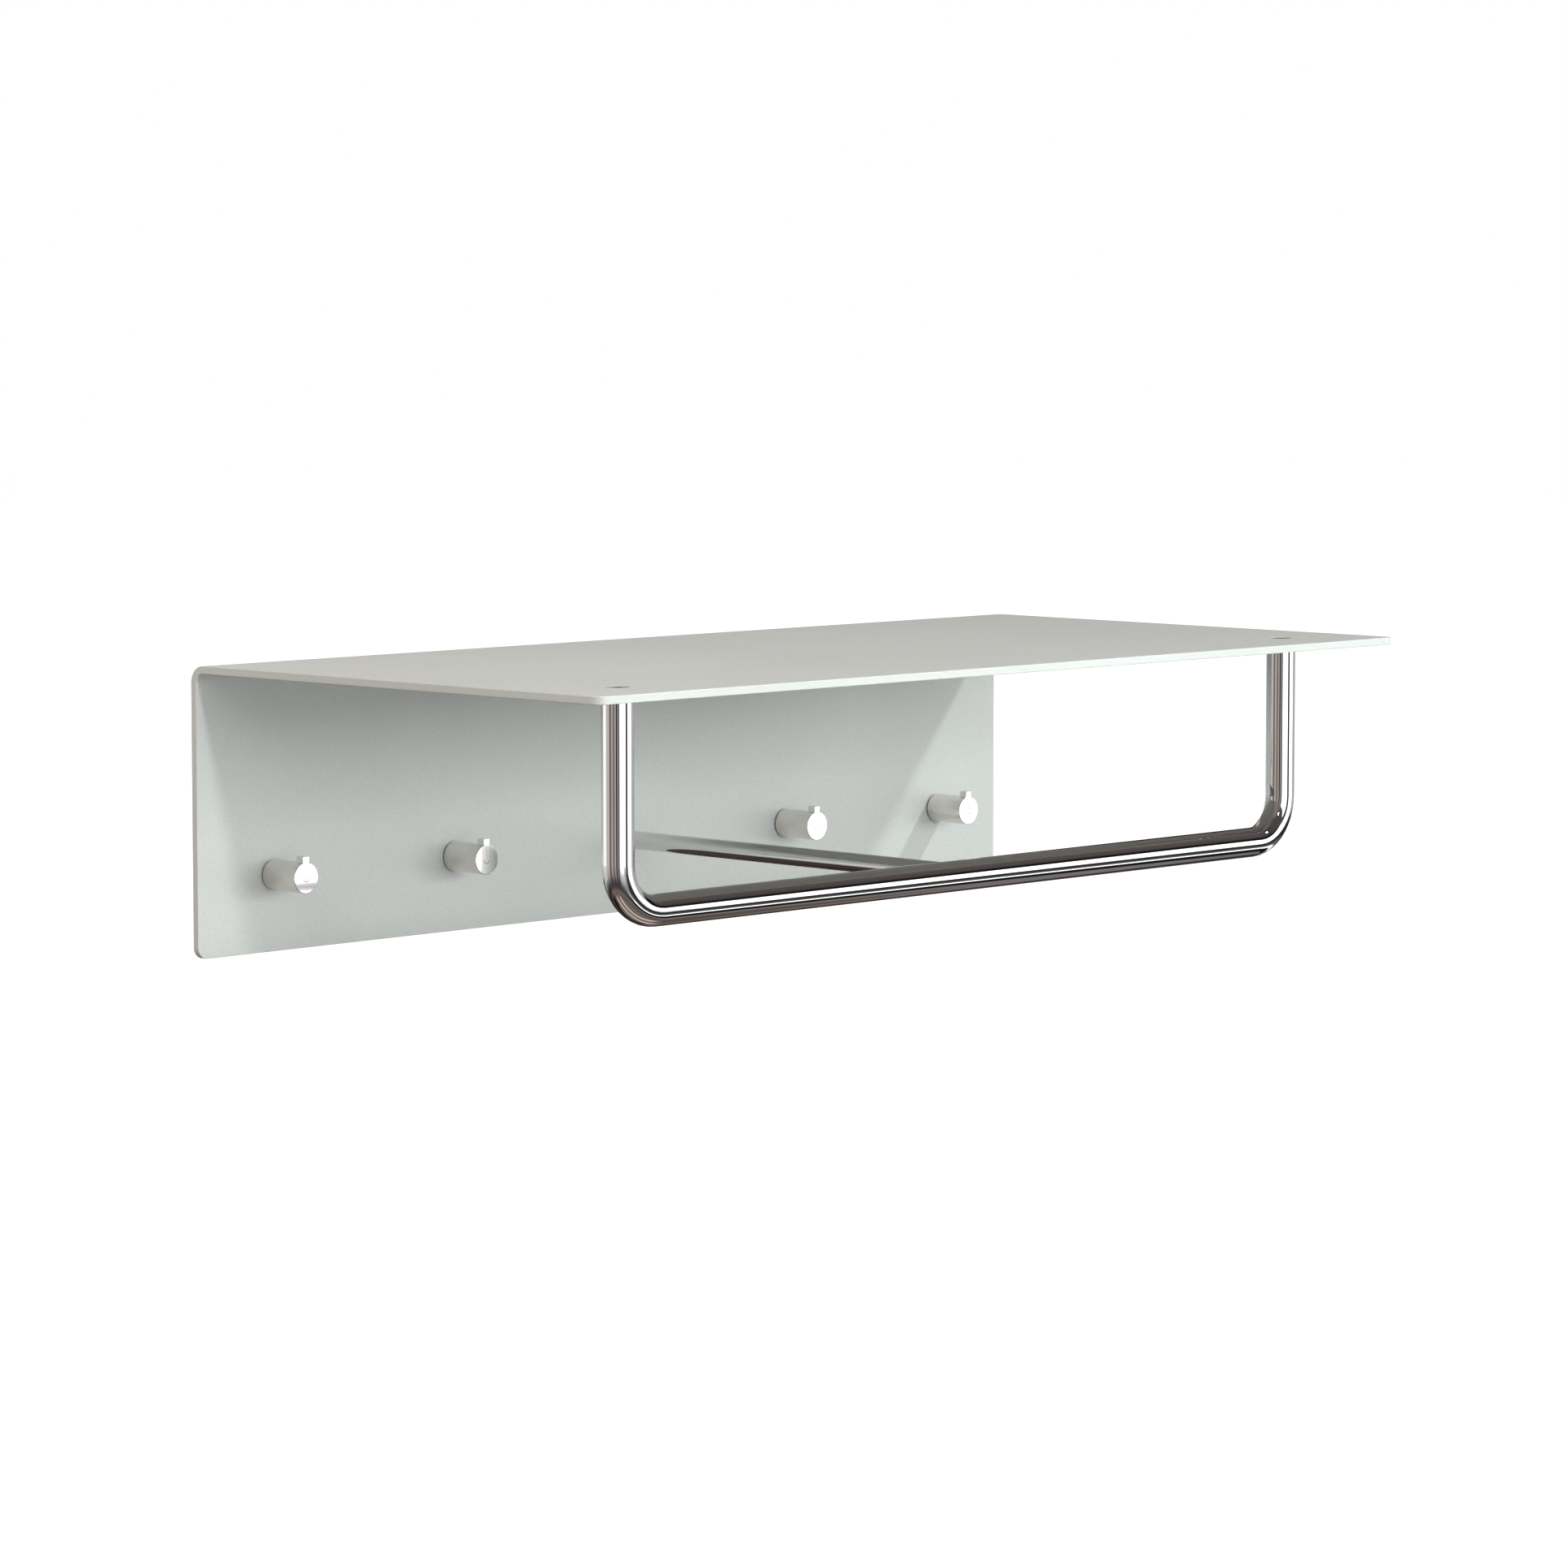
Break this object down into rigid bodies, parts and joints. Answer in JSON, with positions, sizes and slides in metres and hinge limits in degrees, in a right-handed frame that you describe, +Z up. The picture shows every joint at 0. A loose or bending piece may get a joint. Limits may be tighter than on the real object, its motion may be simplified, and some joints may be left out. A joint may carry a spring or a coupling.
{
  "type": "wall towel rack",
  "caption": "Wall rack bent from one sheet, with a flat shelf, a chrome U-shaped towel rail under its front edge, a centre support rod and round steel hanging knobs.",
  "frame": {"origin": "centre of the wall plate's back face, which lies on the wall", "axes": "+X along the wall, -Y out of the wall towards the user, +Z up"},
  "size_m": [0.6, 0.3, 0.15],
  "materials": {
    "powder_coat": "satin",
    "polished_chrome": "polished",
    "knob_steel": "satin",
    "key_steel": "satin",
    "steel_screw": "satin",
    "bush_steel": "satin",
    "plug_steel": "satin"
  },
  "bodies": {
    "root": {"shelf_panel": "powder_coat", "rail_tube": "polished_chrome", "support_rod": "polished_chrome", "support_screw": "steel_screw", "rail_plug_left": "plug_steel", "shelf_screw_left": "steel_screw", "rail_plug_right": "plug_steel", "shelf_screw_right": "steel_screw", "knob_bush_left_outer": "bush_steel", "knob_body_left_outer": "knob_steel", "grub_screw_left_outer": "steel_screw", "knob_key_left_outer": "key_steel", "knob_bush_left_inner": "bush_steel", "knob_body_left_inner": "knob_steel", "grub_screw_left_inner": "steel_screw", "knob_key_left_inner": "key_steel", "knob_bush_right_inner": "bush_steel", "knob_body_right_inner": "knob_steel", "grub_screw_right_inner": "steel_screw", "knob_key_right_inner": "key_steel", "knob_bush_right_outer": "bush_steel", "knob_body_right_outer": "knob_steel", "grub_screw_right_outer": "steel_screw", "knob_key_right_outer": "key_steel"}
  },
  "joints": []
}
